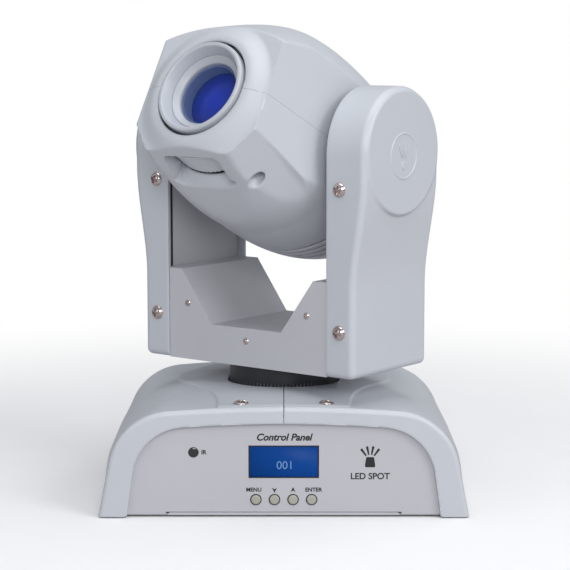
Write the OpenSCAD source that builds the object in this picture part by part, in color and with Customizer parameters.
// Compact moving head spot light: a base that stands on the floor, a yoke that pans on it,
// and a head that tilts between the arms of the yoke.
// Millimetres, +Z up. The origin is under the middle of the base, on the plane of its feet,
// and the control panel faces -Y.

/* [Base] */
// Width of the base across its two legs
base_w = 179; // [176:1:184]
// Depth of the base over its front and rear rims
base_d = 135; // [134:1:140]
// Height of the crown of the base cover
base_h = 54.3; // [54:0.1:56]
// Radius of the shoulders of the base cover
shoulder_r = 31.7; // [29:0.1:33]
// Width of the control panel where it meets the floor
panel_w = 151.2; // [149:0.1:153]
// Height of the control panel
panel_h = 45.9; // [45:0.1:47]
// Depth that the panels sit behind the rims
panel_recess = 2.5; // [2:0.1:3]

/* [Yoke] */
// Direction that the yoke faces at rest, turned from the front of the base
pan_angle = 37.4; // [0:0.1:60]
// Height of the underside of the yoke
yoke_z = 66.6; // [66:0.1:68]
// Gap between the inner edges of the two arm covers
arm_gap = 99.8; // [99:0.1:101]
// Depth of each arm, front to back
arm_d = 63.9; // [63:0.1:65]
// Thickness of each arm near its foot
arm_foot_t = 16.1; // [16:0.1:17]
// Thickness of each arm beside the head
arm_head_t = 22.9; // [22.5:0.1:24]
// Height of the centre of the round arm tops
arm_top_z = 175.6; // [175:0.1:177]
// Height of the valley floor of the channel between the arms
valley_z = 85.8; // [85:0.1:87]
// Height of the shoulders of the channel
channel_z = 112.7; // [112:0.1:114]

/* [Head] */
// Elevation of the beam at rest
beam_angle = 28.9; // [0:0.1:45]
// Height of the tilt axis
tilt_z = 170; // [169:0.1:171]
// Distance from the tilt axis to the front face of the head
face_w = 69.8; // [69:0.1:70.5]
// Distance from the tilt axis to the rim of the lens barrel
barrel_w = 75.9; // [75:0.1:77]
// Outer radius of the lens barrel
barrel_r = 23.8; // [23.5:0.1:24]
// Largest radius of the head
head_r = 53; // [52.5:0.1:53.5]
// Half of the width of the head at the tilt axis
head_side = 46.9; // [46.5:0.1:47.2]
// Half of the width of the head at its front face
face_side = 36.8; // [36:0.1:37.5]

/* [Walls] */
// Wall of the moulded covers
wall = 2.2; // [2:0.1:2.4]
// Thickness of the sheet steel
sheet = 1.5; // [1.2:0.1:1.6]

/* [Hidden] */

$fn = 64;
// Colours of the real materials
white_plastic = [0.82, 0.84, 0.88];
white_paint = [0.77, 0.77, 0.81];
dark_plastic = [0.12, 0.13, 0.15];
rubber_black = [0.06, 0.06, 0.07];
nickel = [0.72, 0.70, 0.69];
steel = [0.55, 0.56, 0.58];
aluminium = [0.75, 0.76, 0.78];
board_green = [0.10, 0.32, 0.18];
lcd_blue = [0.07, 0.27, 0.58];
glass_blue = [0.12, 0.20, 0.55, 0.5];

far = 200;
// The cover stands on its legs a little above the plane of the feet
leg_z = 0.6;
plate_z = 1.0;
plate_t = 1.3;
// Outer faces of the front and rear panels
panel_y = base_d / 2 - panel_recess;
floor_z = plate_z + plate_t;
// Turntable
collar_r = 27.8;
deck_hole_r = 28.6;
// The deck swells towards the turntable, from deck_r out to the edge of its hole
deck_r = 52;
deck_foot_z = base_h - 1.8;
deck_z = base_h + 2.7;
shaft_r = 14;
run_gap = 0.05;
// Timing pulleys: 72 and 20 teeth in the base, 48 and 18 teeth in the arm, 2.032 mm pitch
tooth_pitch = 2.032;
function pitch_r(teeth) = teeth * tooth_pitch / 360 * 180 / PI;
pan_r = pitch_r(72);
pan_motor_r = pitch_r(20);
tilt_r = pitch_r(48);
tilt_motor_r = pitch_r(18);
belt_t = 1.2;
pan_motor_at = [36, -34];
pan_belt_z = 29.5;
belt_w = 6;
tilt_motor_z = 85;
tilt_belt_u = 56.5;
// Inner steel plates of the arms
arm_in = arm_gap / 2;
arm_plate_u = 53.3;
// Optical train, measured from the tilt axis along the beam
wheel_offset = 18;
gobo_w = 5.5;
color_w = 8.5;
wheel_r = 25;
chassis_w = 11;
chassis_hw = 42.4;
ovoid_w = 6.5;
ovoid_len = 84;
ovoid_t = 4.8;

// ---- outlines -----------------------------------------------------------------------------

function arc(cx, cy, r, a0, a1, n) =
    [for (i = [0:n]) let (a = a0 + (a1 - a0) * i / n) [cx + r * cos(a), cy + r * sin(a)]];

// Right half of an arch: a side leaning in, a round shoulder, and a crown that is almost flat
function half_arch(hw, h, r, lean, crown) =
    let (
        rise = tan(crown / 2),
        cx = (hw * cos(lean) - r - (h - r) * sin(lean)) / (cos(lean) - sin(lean) * rise),
        cz = h - r - cx * rise,
        crown_r = cx / sin(crown) + r
    )
    concat(
        [[hw, 0]],
        arc(cx, cz, r, lean, 90 - crown, 10),
        [for (i = [1:5]) let (a = 90 - crown + crown * i / 6) [crown_r * cos(a), h - crown_r * (1 - sin(a))]],
        [[0, h]]
    );

function mirrored(points) =
    concat(points, [for (i = [len(points) - 2:-1:0]) [-points[i][0], points[i][1]]]);

function base_arch(grow) =
    mirrored(half_arch(base_w / 2 + grow, base_h + grow / (grow > 0 ? 2 : 1), shoulder_r + grow, 11, 4.6));

function panel_arch(grow) =
    mirrored(half_arch(panel_w / 2 + grow, panel_h + grow, 26.3 + grow, 8, 4));

// Outer line of a belt round two pulleys, the large one at the origin, the other up +X
function belt_line(d, r1, r2) =
    let (a = acos((r1 - r2) / d))
    concat(arc(0, 0, r1, a, 360 - a, 32), arc(d, 0, r2, -a, a, 16));

// A circle with evenly spaced ribs that stand out by depth
function ribbed(r, depth, count) =
    [for (i = [0:count - 1]) for (k = [[-0.3, depth], [-0.2, 0], [0.2, 0], [0.3, depth]])
        let (a = (i + k[0]) * 360 / count) (r - k[1]) * [cos(a), sin(a)]];

// ---- placing ------------------------------------------------------------------------------

// Extrude an outline drawn in X and Z along Y
module along_y(points, y0, y1) {
    translate([0, y1, 0])
        rotate([90, 0, 0])
            linear_extrude(y1 - y0)
                polygon(points);
}

// Extrude an outline drawn in Y and Z along X
module along_x(x0, x1) {
    translate([x0, 0, 0])
        rotate([90, 0, 90])
            linear_extrude(x1 - x0)
                children();
}

module box(low, high) {
    translate(low)
        cube(high - low);
}

module disc(r, z0, z1) {
    translate([0, 0, z0])
        cylinder(r = r, h = z1 - z0);
}

module disc_x(r, x0, x1, y = 0, z = 0) {
    translate([x0, y, z])
        rotate([0, 90, 0])
            cylinder(r = r, h = x1 - x0);
}

// The tube's axis runs along Y, from y0 to y1
module disc_y(r, y0, y1, x = 0, z = 0) {
    translate([x, y1, z])
        rotate([90, 0, 0])
            cylinder(r = r, h = y1 - y0);
}

// The yoke's own axes: X towards the right arm, -Y the way that the yoke faces
module in_yoke() {
    rotate([0, 0, -pan_angle])
        children();
}

// The head's own axes: X along the tilt axis, -Y along the beam
module in_head() {
    translate([0, 0, tilt_z])
        in_yoke()
            rotate([-beam_angle, 0, 0])
                children();
}

// A slab of the head's own space: a disc on the beam axis from w0 to w1, both along the beam
module disc_w(r, w0, w1, u = 0, t = 0) {
    disc_y(r, -w1, -w0, u, t);
}

module mirror_pair() {
    children();
    mirror([1, 0, 0])
        children();
}

// Everything on the far side of a plane with unit normal n at distance d from the origin
module beyond(n, d) {
    rotate([0, acos(n[2]), atan2(n[1], n[0])])
        translate([-far, -far, d])
            cube(2 * far);
}

// A round-headed screw whose head stands on z = 0 and whose shank goes down
module screw(head_r, head_h, shank_r, shank_len) {
    difference() {
        intersection() {
            disc(head_r, 0, head_h);
            translate([0, 0, head_h - head_r * 1.25])
                sphere(head_r * 1.25);
        }
        for (a = [0, 90])
            rotate([0, 0, a])
                box([-head_r * 0.55, -head_r * 0.11, head_h * 0.45], [head_r * 0.55, head_r * 0.11, far]);
    }
    disc(shank_r, -shank_len, 0);
}

// ---- base ---------------------------------------------------------------------------------

bracket_span = 80;
foot_at = [69, 56];
plate_screw_at = [38, 59];
tab_w = 112;

module base_plate() {
    color(white_paint)
        difference() {
            union() {
                box([-85.8, -panel_y + sheet, plate_z], [85.8, panel_y - sheet, floor_z]);
                box([-tab_w / 2, -panel_y, plate_z], [tab_w / 2, panel_y, floor_z]);
            }
            for (x = [-1, 1]) {
                translate([x * bracket_span / 2, 0, 0])
                    disc(4.2, 0, 10);
                for (y = [-1, 1])
                    translate([x * plate_screw_at[0], y * plate_screw_at[1], 0])
                        disc(1.5, 0, 10);
            }
            for (x = [-5:5])
                box([x * 5 - 1, 28, 0], [x * 5 + 1, 46, 10]);
            disc(9, 0, 10);
        }
}

// A sheet panel behind a rim, on the side of the base given by its outer face
module panel_sheet(y0, y1) {
    difference() {
        along_y(panel_arch(2.5), y0, y1);
        box([-far, y0 - 1, -1], [far, y1 + 1, plate_z + 0.2]);
        box([-tab_w / 2 - 0.4, y0 - 1, -1], [tab_w / 2 + 0.4, y1 + 1, floor_z + 0.3]);
    }
}

lcd_low = [-17, 19.1];
lcd_high = [17, 35.2];
button_step = 8.95;
button_z = 8.6;
ir_at = [-43.4, 31.8];

module front_panel() {
    color(white_paint)
        difference() {
            panel_sheet(-panel_y, -panel_y + sheet);
            box([lcd_low[0], -far, lcd_low[1]], [lcd_high[0], 0, lcd_high[1]]);
            for (i = [0:3])
                disc_y(2.8, -far, 0, (i - 1.5) * button_step, button_z);
            disc_y(2.55, -far, 0, ir_at[0], ir_at[1]);
        }
}

inlet_at = [-46, 21];
dmx_in_at = [42, 20.5];
dmx_out_at = [12, 20.5];
fuse_at = [-17, 21];

module rear_panel() {
    color(white_paint)
        difference() {
            panel_sheet(panel_y - sheet, panel_y);
            box([inlet_at[0] - 13.7, 0, inlet_at[1] - 10.2], [inlet_at[0] + 13.7, far, inlet_at[1] + 10.2]);
            disc_y(12, 0, far, dmx_in_at[0], dmx_in_at[1]);
            disc_y(12, 0, far, dmx_out_at[0], dmx_out_at[1]);
            disc_y(6.1, 0, far, fuse_at[0], fuse_at[1]);
        }
}

// The swelling of the deck, or with an inset, the space inside its wall
module deck_form(inset) {
    translate([0, 0, deck_foot_z - inset])
        cylinder(r1 = deck_r - inset, r2 = deck_hole_r, h = deck_z - deck_foot_z);
}

// Depth of the front and rear rims, and the screws that hold the two halves of the cover
rim_depth = 4;
cover_screw_at = [20.6, 58.5];

module base_cover() {
    color(white_plastic)
        difference() {
            union() {
                along_y(base_arch(0), -base_d / 2, base_d / 2);
                along_y(base_arch(1), -base_d / 2 + rim_depth, base_d / 2 - rim_depth);
                deck_form(0);
            }
            along_y(base_arch(-wall), -panel_y, panel_y);
            deck_form(wall);
            along_y(panel_arch(0), -far, far);
            box([-far, -far, -1], [far, far, leg_z]);
            disc(deck_hole_r, 0, far);
            for (x = [-1, 1])
                for (y = [-1, 1])
                    translate([x * cover_screw_at[0], y * cover_screw_at[1], 0])
                        disc(1.9, 0, far);
        }
}

module base_cover_left() {
    difference() {
        base_cover();
        box([-0.15, -far, -1], [far, far, far]);
    }
}

module base_cover_right() {
    mirror([1, 0, 0])
        base_cover_left();
}

module rubber_feet() {
    color(rubber_black)
        for (x = [-1, 1])
            for (y = [-1, 1])
                translate([x * foot_at[0], y * foot_at[1], 0])
                    disc(4.5, 0, plate_z);
}

module base_cover_screws() {
    color(nickel)
        for (x = [-1, 1])
            for (y = [-1, 1])
                translate([x * cover_screw_at[0], y * cover_screw_at[1], base_h + 0.35])
                    screw(3.8, 1.5, 1.7, 9);
}

module base_plate_screws() {
    color(nickel)
        for (x = [-1, 1])
            for (y = [-1, 1])
                translate([x * plate_screw_at[0], y * plate_screw_at[1], plate_z])
                    rotate([180, 0, 0])
                        screw(2.6, 0.8, 1.3, 4);
}

module display_window() {
    color(lcd_blue)
        box([lcd_low[0] + 0.1, -panel_y + 0.3, lcd_low[1] + 0.1], [lcd_high[0] - 0.1, -panel_y + 1.5, lcd_high[1] - 0.1]);
}

module display_board() {
    color(board_green) {
        box([-30, -54.2, 5], [30, -52.6, 39]);
        box([-20, -62.5, 17], [20, -54.2, 37]);
        for (i = [0:3])
            box([(i - 1.5) * button_step - 3, -58.2, button_z - 3], [(i - 1.5) * button_step + 3, -54.2, button_z + 3]);
    }
}

module ir_receiver() {
    color(dark_plastic) {
        disc_y(2.4, -panel_y - 0.3, -60, ir_at[0], ir_at[1]);
        box([ir_at[0] - 4, -60, ir_at[1] - 5], [ir_at[0] + 4, -57, ir_at[1] + 4]);
    }
}

// Button number i of the row, counted from the left
module panel_button(i) {
    color([0.60, 0.60, 0.57]) {
        disc_y(2.6, -panel_y - 0.9, -59.1, (i - 1.5) * button_step, button_z);
        disc_y(3.5, -62.2, -61.2, (i - 1.5) * button_step, button_z);
    }
}

module bearing_bridge() {
    color(steel)
        difference() {
            union() {
                box([-50, -22, 42], [50, 22, 44]);
                for (x = [-1, 1])
                    box([x * 49 - 1, -14, floor_z], [x * 49 + 1, 14, 42]);
            }
            disc(20 + run_gap, 30, far);
        }
}

module pan_bearing() {
    color(nickel)
        difference() {
            disc(20, 38, 46);
            disc(shaft_r + run_gap, 30, far);
        }
}

module pan_shaft() {
    color(dark_plastic)
        difference() {
            union() {
                disc(shaft_r, 26, yoke_z);
                disc(24, yoke_z - 3, yoke_z);
                disc(pan_r, pan_belt_z - 0.5, pan_belt_z + belt_w + 0.5);
                disc(pan_r + 2, pan_belt_z - 1.5, pan_belt_z - 0.5);
                disc(pan_r + 2, pan_belt_z + belt_w + 0.5, pan_belt_z + belt_w + 1.5);
            }
            disc(10, 0, far);
        }
}

module pan_collar() {
    color(dark_plastic)
        difference() {
            translate([0, 0, base_h - 2.8])
                linear_extrude(yoke_z - base_h + 2.8)
                    polygon(ribbed(collar_r, 0.5, 60));
            disc(24.2, 0, far);
        }
}

// A square stepper body, its shaft side at z = 0, going down
module stepper(size, depth) {
    difference() {
        box([-size / 2, -size / 2, -depth], [size / 2, size / 2, 0]);
        for (a = [45:90:315])
            rotate([0, 0, a])
                box([size * 0.65, -far, -far], [far, far, 1]);
    }
    disc(size * 0.3, 0, 1);
}

module pulley(r, width, flange, shaft, shaft_low, shaft_high) {
    disc(r, 0, width);
    disc(r + flange, -1, 0);
    disc(r + flange, width, width + 1);
    disc(shaft, shaft_low, shaft_high);
}

module pan_motor() {
    color(steel)
        translate([pan_motor_at[0], pan_motor_at[1], pan_belt_z - 5])
            stepper(35, pan_belt_z - 5 - floor_z);
}

module pan_motor_pulley() {
    color(aluminium)
        translate([pan_motor_at[0], pan_motor_at[1], pan_belt_z])
            pulley(pan_motor_r, belt_w, 1.5, 2.5, -3.9, belt_w + 3);
}

module pan_belt() {
    reach = norm(pan_motor_at);
    color(rubber_black)
        rotate([0, 0, atan2(pan_motor_at[1], pan_motor_at[0])])
            translate([0, 0, pan_belt_z + 0.3])
                linear_extrude(belt_w - 0.6)
                    difference() {
                        polygon(belt_line(reach, pan_r + belt_t, pan_motor_r + belt_t));
                        polygon(belt_line(reach, pan_r + run_gap, pan_motor_r + run_gap));
                    }
}

module power_supply() {
    color(board_green)
        box([-77, -42, 6], [-53, 40, 7.6]);
    color(dark_plastic) {
        box([-75, -38, 7.6], [-55, -12, 29]);
        box([-74, 16, 7.6], [-56, 36, 22]);
    }
    color(aluminium)
        translate([-65, 1, 7.6])
            disc(8, 0, 24);
    color(aluminium)
        for (y = [-40, 38])
            translate([-65, y, floor_z])
                disc(1.9, 0, 6 - floor_z);
}

module main_board() {
    color(board_green)
        box([56, -12, 6], [77, 40, 7.6]);
    color(dark_plastic) {
        box([60, 8, 7.6], [72, 20, 9.6]);
        for (i = [0:2])
            box([58, -9 + i * 5.5, 7.6], [66, -5 + i * 5.5, 14]);
    }
    color(aluminium)
        for (y = [-9, 37])
            translate([73, y, floor_z])
                disc(1.9, 0, 6 - floor_z);
}

module power_inlet() {
    color(dark_plastic)
        translate([inlet_at[0], panel_y, inlet_at[1]])
            difference() {
                union() {
                    box([-15.5, 0, -12], [15.5, 2.2, 12]);
                    box([-13.5, -20, -10], [13.5, 0, 10]);
                }
                box([-12.1, -14, -8.1], [12.1, far, 8.1]);
            }
    color(nickel)
        translate([inlet_at[0], panel_y, inlet_at[1]])
            for (p = [[-7, -1.5], [0, 2.5], [7, -1.5]])
                box([p[0] - 1, -14.5, p[1] - 2], [p[0] + 1, -5, p[1] + 2]);
}

module fuse_holder() {
    color(dark_plastic)
        translate([fuse_at[0], panel_y, fuse_at[1]]) {
            disc_y(8, 0, 2);
            disc_y(5.9, -18, 0);
            difference() {
                disc_y(5.6, 2, 8);
                box([-4, 6.8, -0.6], [4, 9, 0.6]);
            }
        }
}

// A chassis socket: a rectangular flange with a round body behind it
module socket_body(depth) {
    difference() {
        box([-13, 0, -15.5], [13, 2, 15.5]);
        for (s = [-1, 1])
            disc_y(1.6, -1, 3, s * 9.5, s * 12);
    }
    disc_y(11.8, -depth, 0);
}

module dmx_in_socket() {
    color(dark_plastic)
        translate([dmx_in_at[0], panel_y, dmx_in_at[1]]) {
            difference() {
                socket_body(20);
                disc_y(8.3, -14, far);
            }
            for (a = [30, 150, 270])
                disc_y(1.2, -14.5, -3, 4.4 * cos(a), 4.4 * sin(a));
        }
}

module dmx_out_socket() {
    color(dark_plastic)
        translate([dmx_out_at[0], panel_y, dmx_out_at[1]])
            difference() {
                union() {
                    socket_body(20);
                    disc_y(9.8, 2, 4.5);
                }
                difference() {
                    disc_y(8.9, -10, far);
                    disc_y(7.7, -10, far);
                }
                for (a = [30, 150, 270])
                    disc_y(1.4, -10, far, 4.4 * cos(a), 4.4 * sin(a));
            }
}

// ---- yoke ---------------------------------------------------------------------------------

valley_hw = 22;
notch_hw = 41.5;

// Outline of the channel's top, drawn in X and Z, lowered by the given amount
function channel_top(down, hw) = [
    [-hw, channel_z - down], [-notch_hw, channel_z - down], [-valley_hw, valley_z - down],
    [valley_hw, valley_z - down], [notch_hw, channel_z - down], [hw, channel_z - down],
];

module yoke_base() {
    color(white_paint)
        in_yoke()
            difference() {
                box([-arm_in + 0.2, -arm_d / 2 + 2.4, yoke_z], [arm_in - 0.2, arm_d / 2 - 2.4, yoke_z + sheet]);
                disc(10, 0, far);
            }
}

module arm_plate() {
    difference() {
        along_x(arm_plate_u, arm_plate_u + sheet)
            union() {
                translate([0, arm_top_z])
                    circle(arm_d / 2 - wall - 0.1);
                translate([-arm_d / 2 + wall + 0.1, yoke_z + wall + 0.1])
                    square([arm_d - 2 * wall - 0.2, arm_top_z - yoke_z - wall]);
            }
        disc_x(12 + run_gap, 0, far, 0, tilt_z);
        disc_x(10, 0, far, 0, tilt_motor_z);
    }
}

module arm_plate_right() {
    color(white_paint)
        in_yoke()
            arm_plate();
}

module arm_plate_left() {
    color(white_paint)
        in_yoke()
            mirror([1, 0, 0])
                arm_plate();
}

module end_plate() {
    difference() {
        along_y(concat([[arm_in - 0.3, yoke_z], [-arm_in + 0.3, yoke_z]], channel_top(0, arm_in - 0.3)),
            -arm_d / 2 + 0.8, -arm_d / 2 + 0.8 + sheet);
        for (p = [[-37.6, 95.4], [37.6, 95.4], [0, 79.3]])
            disc_y(1.5, -far, far, p[0], p[1]);
    }
}

module yoke_front_plate() {
    color(white_paint)
        in_yoke()
            end_plate();
}

module yoke_rear_plate() {
    color(white_paint)
        in_yoke()
            mirror([0, 1, 0])
                end_plate();
}

module yoke_channel() {
    top = channel_top(0, 53.1);
    under = channel_top(sheet, 53.1);
    hang = arm_d / 2 - 2.4;
    color(white_paint)
        in_yoke()
            along_y(concat(top, [for (i = [len(under) - 1:-1:0]) under[i]]), -hang, hang);
}

// Side view of an arm cover, a tall panel with a round top
module arm_outline(grow) {
    r = arm_d / 2 + grow;
    translate([0, arm_top_z])
        circle(r);
    translate([-r, yoke_z - grow])
        square([2 * r, arm_top_z - yoke_z + grow]);
}

// Front view of the arm: thin at its foot, swelling beside the head
function arm_section(grow) = [
    [arm_in - 1, yoke_z - 2], [arm_in + arm_foot_t + grow, yoke_z - 2],
    [arm_in + arm_foot_t + grow, 112], [arm_in + arm_foot_t + 1.7 + grow, 124],
    [arm_in + arm_foot_t + 4.9 + grow, 142], [arm_in + arm_head_t + grow, 157],
    [arm_in + arm_head_t + grow, 212], [arm_in - 1, 212],
];

module arm_cover() {
    difference() {
        intersection() {
            along_x(arm_in, arm_in + arm_head_t)
                arm_outline(0);
            along_y(arm_section(0), -far, far);
        }
        intersection() {
            along_x(arm_in - 2, arm_in + arm_head_t)
                arm_outline(-wall);
            along_y([for (p = arm_section(-wall)) p + [p[0] < arm_in ? -2 : 0, 0]], -far, far);
        }
        for (z = [88.9, 157.6])
            for (side = [-1, 1])
                disc_y(1.7, side * 20 - 15, side * 20 + 15, arm_in + 7.6, z);
    }
}

module arm_cover_right() {
    color(white_plastic)
        in_yoke()
            arm_cover();
}

module arm_cover_left() {
    color(white_plastic)
        in_yoke()
            mirror([1, 0, 0])
                arm_cover();
}

module arm_cover_screws() {
    color(nickel)
        in_yoke()
            for (side = [-1, 1])
                for (face = [0, 180])
                    for (z = [88.9, 157.6])
                        rotate([0, 0, face])
                            translate([side * (arm_in + 7.6), -arm_d / 2, z])
                                rotate([90, 0, 0])
                                    screw(3.0, 1.8, 1.5, 6);
}

module yoke_plate_screws() {
    color(nickel)
        in_yoke()
            for (face = [0, 180])
                for (p = [[-37.6, 95.4], [37.6, 95.4], [0, 79.3]])
                    rotate([0, 0, face])
                        translate([p[0], -arm_d / 2 + 0.8, p[1]])
                            rotate([90, 0, 0])
                                screw(1.9, 0.9, 1.4, 4);
}

module tilt_motor() {
    color(steel)
        in_yoke()
            translate([-arm_plate_u + 0.1, 0, tilt_motor_z])
                rotate([0, -90, 0])
                    translate([0, 0, -0.2])
                        stepper(31, 17.5);
}

module tilt_motor_pulley() {
    color(aluminium)
        in_yoke()
            translate([-tilt_belt_u, 0, tilt_motor_z])
                rotate([0, -90, 0])
                    pulley(tilt_motor_r, belt_w - 0.5, 1, 2.5, -2, belt_w);
}

module tilt_belt() {
    reach = tilt_z - tilt_motor_z;
    color(rubber_black)
        in_yoke()
            translate([-tilt_belt_u - 0.3, 0, tilt_z])
                rotate([0, 0, 180])
                    rotate([0, 90, 0])
                        linear_extrude(belt_w - 1)
                            difference() {
                                polygon(belt_line(reach, tilt_r + belt_t, tilt_motor_r + belt_t));
                                polygon(belt_line(reach, tilt_r + run_gap, tilt_motor_r + run_gap));
                            }
}

module tilt_bearings() {
    color(nickel)
        in_yoke()
            mirror_pair()
                difference() {
                    disc_x(12, arm_plate_u - 1.5, arm_plate_u + 2, 0, tilt_z);
                    disc_x(8 + run_gap, 0, far, 0, tilt_z);
                }
}

// ---- head ---------------------------------------------------------------------------------

// Radius of the turned form of the head at a distance w along the beam
function ovoid(w, inset) =
    let (x = abs(w - ovoid_w) / (ovoid_len - inset), p = w > ovoid_w ? 3.2 : 2.4)
    (head_r - inset) * sqrt(max(0, 1 - pow(x, p)));

collar_h = 5;

// The head's outer form, or with an inset, the space inside its wall
module head_form(inset) {
    rear = ovoid_w - ovoid_len + inset;
    face = face_w - inset;
    steps = 24;
    side = head_side - inset;
    taper = (head_side - face_side) / face_w;
    difference() {
        translate([0, 0, ovoid_t])
            rotate([90, 0, 0])
                rotate_extrude()
                    polygon(concat(
                        [[0, rear]],
                        [for (i = [0:steps]) let (w = rear + (face - rear) * (1 - cos(90 + 90 * (i / steps - 1))))
                            [max(ovoid(w, inset), 0.5), w]],
                        [[0, face]]
                    ));
        // flat sides, drawn in towards the face, and the slope above the lens
        mirror_pair() {
            beyond([cos(atan(taper)), -sin(atan(taper)), 0], side * cos(atan(taper)));
            beyond([1, 0, 0], side);
            // chamfer along the underside, under the ledge of the flat side
            intersection() {
                beyond([0.757, -0.180, -0.628], 51.9 - inset);
                beyond([0.285, -0.242, -0.927], 43.3 - inset);
            }
        }
        beyond([0, -0.551, 0.835], 68.2 - inset);
        beyond([0, -0.3125, -0.950], 52.2 - inset);
    }
    // collar that stands up round the lens barrel
    translate([0, -face + 1, 0])
        rotate([90, 0, 0])
            cylinder(r1 = 33.5 - inset, r2 = 26.5 - inset / 4, h = collar_h + 1);
}

front_post = [28, 47];
rear_post = [27, -35];

// Runs its children at each of the four screw posts of the head
module at_posts() {
    for (p = [front_post, rear_post])
        for (s = [-1, 1])
            translate([s * p[0], -p[1], 0])
                children();
}

module head_shell() {
    difference() {
        union() {
            difference() {
                head_form(0);
                head_form(wall);
            }
            intersection() {
                at_posts()
                    disc(4.6, -60, 60);
                head_form(wall / 2);
            }
        }
        disc_w(barrel_r + 1.4, 50, far);
        disc_x(9, -far, far);
    }
}

// Slots behind the fan, one at each of the given heights
module fan_vents(heights) {
    for (t = heights)
        box([-17, 60, t - 1], [17, far, t + 1]);
}

module head_shell_upper() {
    color(white_plastic)
        in_head()
            difference() {
                head_shell();
                box([-far, -far, -far], [far, far, 0.1]);
                at_posts()
                    disc(1.2, -1, 12);
                fan_vents([4:5:19]);
            }
}

// Window over the focus ring: half of its width, and its edges along the beam
window_hw = 17;
window_w = [52.3, 66];

module head_shell_lower() {
    color(white_plastic)
        in_head()
            difference() {
                head_shell();
                box([-far, -far, -0.1], [far, far, far]);
                at_posts() {
                    disc(1.6, -far, far);
                    disc(3.3, -far, -22);
                }
                box([-window_hw, -window_w[1], -far], [window_hw, -window_w[0], -22]);
                fan_vents([-11:5:-6]);
                // air outlet
                for (i = [0:4])
                    box([-24, 14 + i * 5.2, -far], [24, 16.4 + i * 5.2, -22]);
            }
}

module head_screws() {
    color(nickel)
        in_head()
            at_posts()
                translate([0, 0, -22.1])
                    rotate([180, 0, 0])
                        screw(2.8, 2, 1.15, 30);
}

module head_chassis() {
    color(aluminium)
        in_head()
            difference() {
                union() {
                    box([-chassis_hw, -chassis_w - 2, -18], [chassis_hw, -chassis_w, 24]);
                    box([-16, -chassis_w - 2, -31], [16, -chassis_w, 31]);
                    mirror_pair()
                        box([chassis_hw - 2, -chassis_w, -13], [chassis_hw, 16, 13]);
                }
                disc_w(6.5, 0, 20);
                for (t = [-1, 1])
                    disc_w(3, 0, 20, 0, t * wheel_offset);
                disc_x(5, -far, far);
            }
}

module tilt_shafts() {
    color(steel)
        in_head()
            mirror_pair()
                difference() {
                    union() {
                        disc_x(8, chassis_hw, 63);
                        disc_x(8.8, chassis_hw, chassis_hw + 1.2);
                    }
                    disc_x(5, 0, far);
                }
}

module tilt_pulley() {
    color(dark_plastic)
        in_head()
            translate([-tilt_belt_u, 0, 0])
                rotate([0, -90, 0])
                    difference() {
                        union() {
                            disc(tilt_r, 0, belt_w - 0.5);
                            disc(tilt_r + 1.8, -1, 0);
                            disc(tilt_r + 1.8, belt_w - 0.5, belt_w);
                        }
                        disc(8 + run_gap, -far, far);
                    }
}

module led_module() {
    color(white_paint)
        in_head()
            disc_w(11.5, -12, -10.4);
    color([0.9, 0.8, 0.3])
        in_head()
            disc_w(4, -10.4, -7.5);
}

module heat_sink() {
    color(aluminium)
        in_head() {
            box([-chassis_hw + 2.1, 12, -17], [chassis_hw - 2.1, 16, 17]);
            for (i = [-6:6])
                box([i * 3.1 - 0.6, 16, -18], [i * 3.1 + 0.6, 43, 18]);
        }
}

module fan_frame() {
    color(dark_plastic)
        in_head() {
            difference() {
                box([-20, 45, -20], [20, 55, 20]);
                disc_w(18.8, -far, 0);
            }
            disc_w(8.5, -55, -54);
            for (a = [45, 135])
                rotate([0, a, 0])
                    box([-19.5, 54, -1], [19.5, 55, 1]);
        }
}

module fan_rotor() {
    color(dark_plastic)
        in_head() {
            disc_w(8, -53.6, -46.5);
            for (i = [0:6])
                rotate([0, i * 360 / 7, 0])
                    translate([7, 50, 0])
                        rotate([35, 0, 0])
                            box([0, -3.4, -0.6], [11, 3.4, 0.6]);
        }
}

module condenser_lens() {
    color(glass_blue)
        in_head()
            rotate([90, 0, 0])
                rotate_extrude()
                    polygon(concat([[0, -4.5]], [[10.4, -4.5]], [[10.4, -3]], arc(0, -13.4, 14.6, 45, 90, 12)));
}

module condenser_holder() {
    color(dark_plastic)
        in_head()
            difference() {
                disc_w(14, -12, -2.4);
                disc_w(9.5, -13, 0);
                disc_w(11.6, -12.1, -10.3);
                disc_w(10.5, -4.6, 0);
            }
}

// A wheel of apertures on its own shaft, in the head's axes
module aperture_wheel(w0, t0, hole_r) {
    difference() {
        disc_w(wheel_r, w0, w0 + 1, 0, t0);
        for (i = [0:7])
            rotate_about(t0, i * 45)
                disc_w(hole_r, w0 - 1, w0 + 2, 0, t0 + wheel_offset);
    }
    disc_w(4, w0 - 0.8, w0 + 2, 0, t0);
    disc_w(1.5, w0, chassis_w + 1.5, 0, t0);
}

// Turn children about the beam direction through a point at height t0
module rotate_about(t0, angle) {
    translate([0, 0, t0])
        rotate([0, angle, 0])
            translate([0, 0, -t0])
                children();
}

module gobo_wheel() {
    color(steel)
        in_head()
            aperture_wheel(gobo_w, wheel_offset, 4);
}

module color_wheel() {
    color(aluminium)
        in_head()
            aperture_wheel(color_w - 0.2, -wheel_offset, 5);
}

module wheel_motors() {
    color(steel)
        in_head()
            for (t = [-1, 1])
                disc_w(9.5, chassis_w + 2, chassis_w + 16, 0, t * wheel_offset);
}

lens_seat_w = 63.6;
lens_r = 16.1;
lens_rim_w = 67.2;
lens_dome_h = 1.6;
// Focus ring: its radius, and its edges along the beam; its teeth are on the rear edge
focus_r = 33.2;
focus_w = [53, 65.6];

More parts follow.
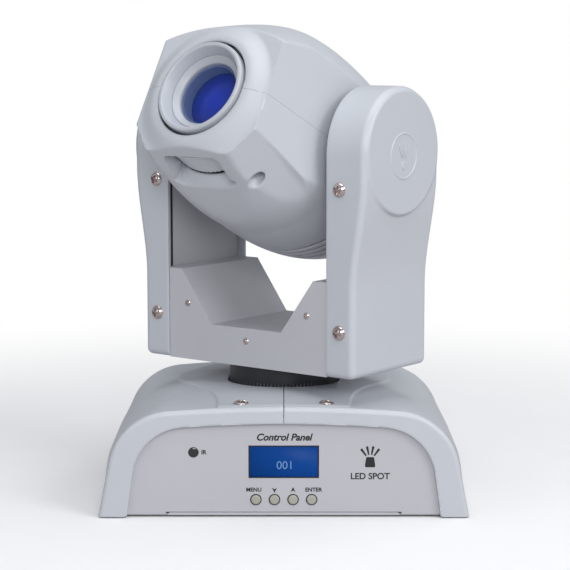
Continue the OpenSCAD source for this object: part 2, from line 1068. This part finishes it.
module lens_barrel() {
    color(white_plastic)
        in_head()
            rotate([90, 0, 0])
                rotate_extrude()
                    polygon([
                        [13.5, 38], [20, 38], [20, 55], [barrel_r, 56.5], [barrel_r, barrel_w - 1],
                        [barrel_r - 1, barrel_w], [barrel_r - 2.2, barrel_w],
                        [19.3, lens_rim_w + 3.2], [lens_r + 0.05, lens_rim_w + 1.6],
                        [lens_r + 0.05, lens_seat_w], [13.5, lens_seat_w],
                    ]);
}

module front_lens() {
    dome_r = (lens_r * lens_r + lens_dome_h * lens_dome_h) / (2 * lens_dome_h);
    color(glass_blue)
        in_head()
            rotate([90, 0, 0])
                rotate_extrude()
                    polygon(concat(
                        [[0, lens_seat_w + 0.1], [lens_r, lens_seat_w + 0.1]],
                        arc(0, lens_rim_w + lens_dome_h - dome_r, dome_r, acos(lens_r / dome_r), 90, 12)
                    ));
}

module focus_ring() {
    color(white_plastic)
        in_head()
            difference() {
                union() {
                    disc_w(focus_r, focus_w[0] + 2, focus_w[1]);
                    translate([0, -focus_w[0], 0])
                        rotate([90, 0, 0])
                            linear_extrude(2)
                                polygon(ribbed(focus_r + 0.6, 0.8, 60));
                }
                disc_w(barrel_r + 0.4, 50, far);
                difference() {
                    disc_w(focus_r - 1.8, focus_w[0] + 2.6, far);
                    disc_w(barrel_r + 2.7, focus_w[0] + 1, far);
                }
            }
}

base_plate();
front_panel();
rear_panel();
base_cover_left();
base_cover_right();
rubber_feet();
base_cover_screws();
base_plate_screws();
display_window();
display_board();
ir_receiver();
panel_button(0);  // button_menu
panel_button(1);  // button_down
panel_button(2);  // button_up
panel_button(3);  // button_enter
bearing_bridge();
pan_bearing();
pan_motor();
pan_motor_pulley();
pan_belt();
power_supply();
main_board();
power_inlet();
fuse_holder();
dmx_in_socket();
dmx_out_socket();
yoke_base();
arm_plate_left();
arm_plate_right();
yoke_front_plate();
yoke_rear_plate();
yoke_channel();
arm_cover_left();
arm_cover_right();
arm_cover_screws();
yoke_plate_screws();
pan_shaft();
pan_collar();
tilt_motor();
tilt_motor_pulley();
tilt_belt();
tilt_bearings();
head_shell_upper();
head_shell_lower();
head_screws();
head_chassis();
tilt_shafts();
tilt_pulley();
led_module();
heat_sink();
fan_frame();
fan_rotor();
condenser_lens();
condenser_holder();
gobo_wheel();
color_wheel();
wheel_motors();
lens_barrel();
front_lens();
focus_ring();
